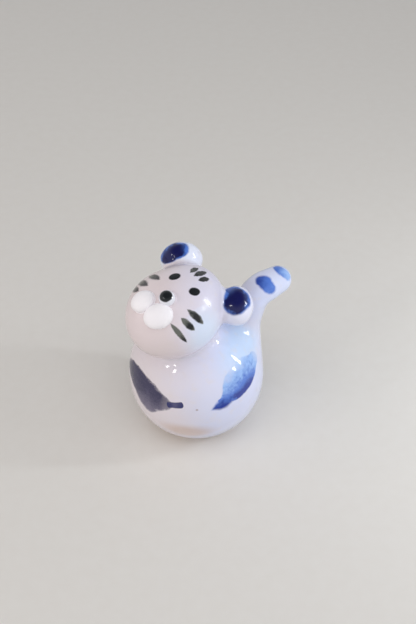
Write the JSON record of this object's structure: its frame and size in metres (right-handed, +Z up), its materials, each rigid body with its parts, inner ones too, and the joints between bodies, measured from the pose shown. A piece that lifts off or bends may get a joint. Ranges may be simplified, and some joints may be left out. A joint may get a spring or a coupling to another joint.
{
  "type": "ceramic cat figurine",
  "caption": "Small hand-built ceramic cat: round body, ball head turned and looking up, ball ears, bent upright tail, raised muzzle, brushed cobalt patches and black face marks under glaze.",
  "frame": {"origin": "centre of the flat foot that the figurine rests on", "axes": "+Z up; -Y is the front of the body, midway between the two flank patches; +X is the cat's left"},
  "size_m": [0.0335, 0.028, 0.0416],
  "materials": {
    "white_glaze": "clear glossy glaze over white clay, faintly blue where it pools",
    "raised_slip": "satin opaque white, little glaze",
    "cobalt_pigment": "watery brushed cobalt under glossy glaze",
    "black_pigment": "brushed iron black under glossy glaze"
  },
  "bodies": {
    "root": {"body": "white_glaze", "head": "white_glaze", "ear_left": "white_glaze", "ear_right": "white_glaze", "tail": "white_glaze", "muzzle_pad_left": "raised_slip", "muzzle_pad_right": "raised_slip", "nose": "white_glaze", "neck_slip": "white_glaze", "ear_slip_left": "white_glaze", "ear_slip_right": "white_glaze", "tail_slip": "white_glaze", "eye_left": "black_pigment", "eye_right": "black_pigment", "brow_stripes": "black_pigment", "cheek_stripes_left": "black_pigment", "cheek_stripes_right": "black_pigment", "nose_cap": "black_pigment", "ear_patch_left": "cobalt_pigment", "ear_patch_right": "cobalt_pigment", "flank_patch_left": "cobalt_pigment", "flank_patch_right": "cobalt_pigment", "tail_bands": "cobalt_pigment"}
  },
  "joints": []
}
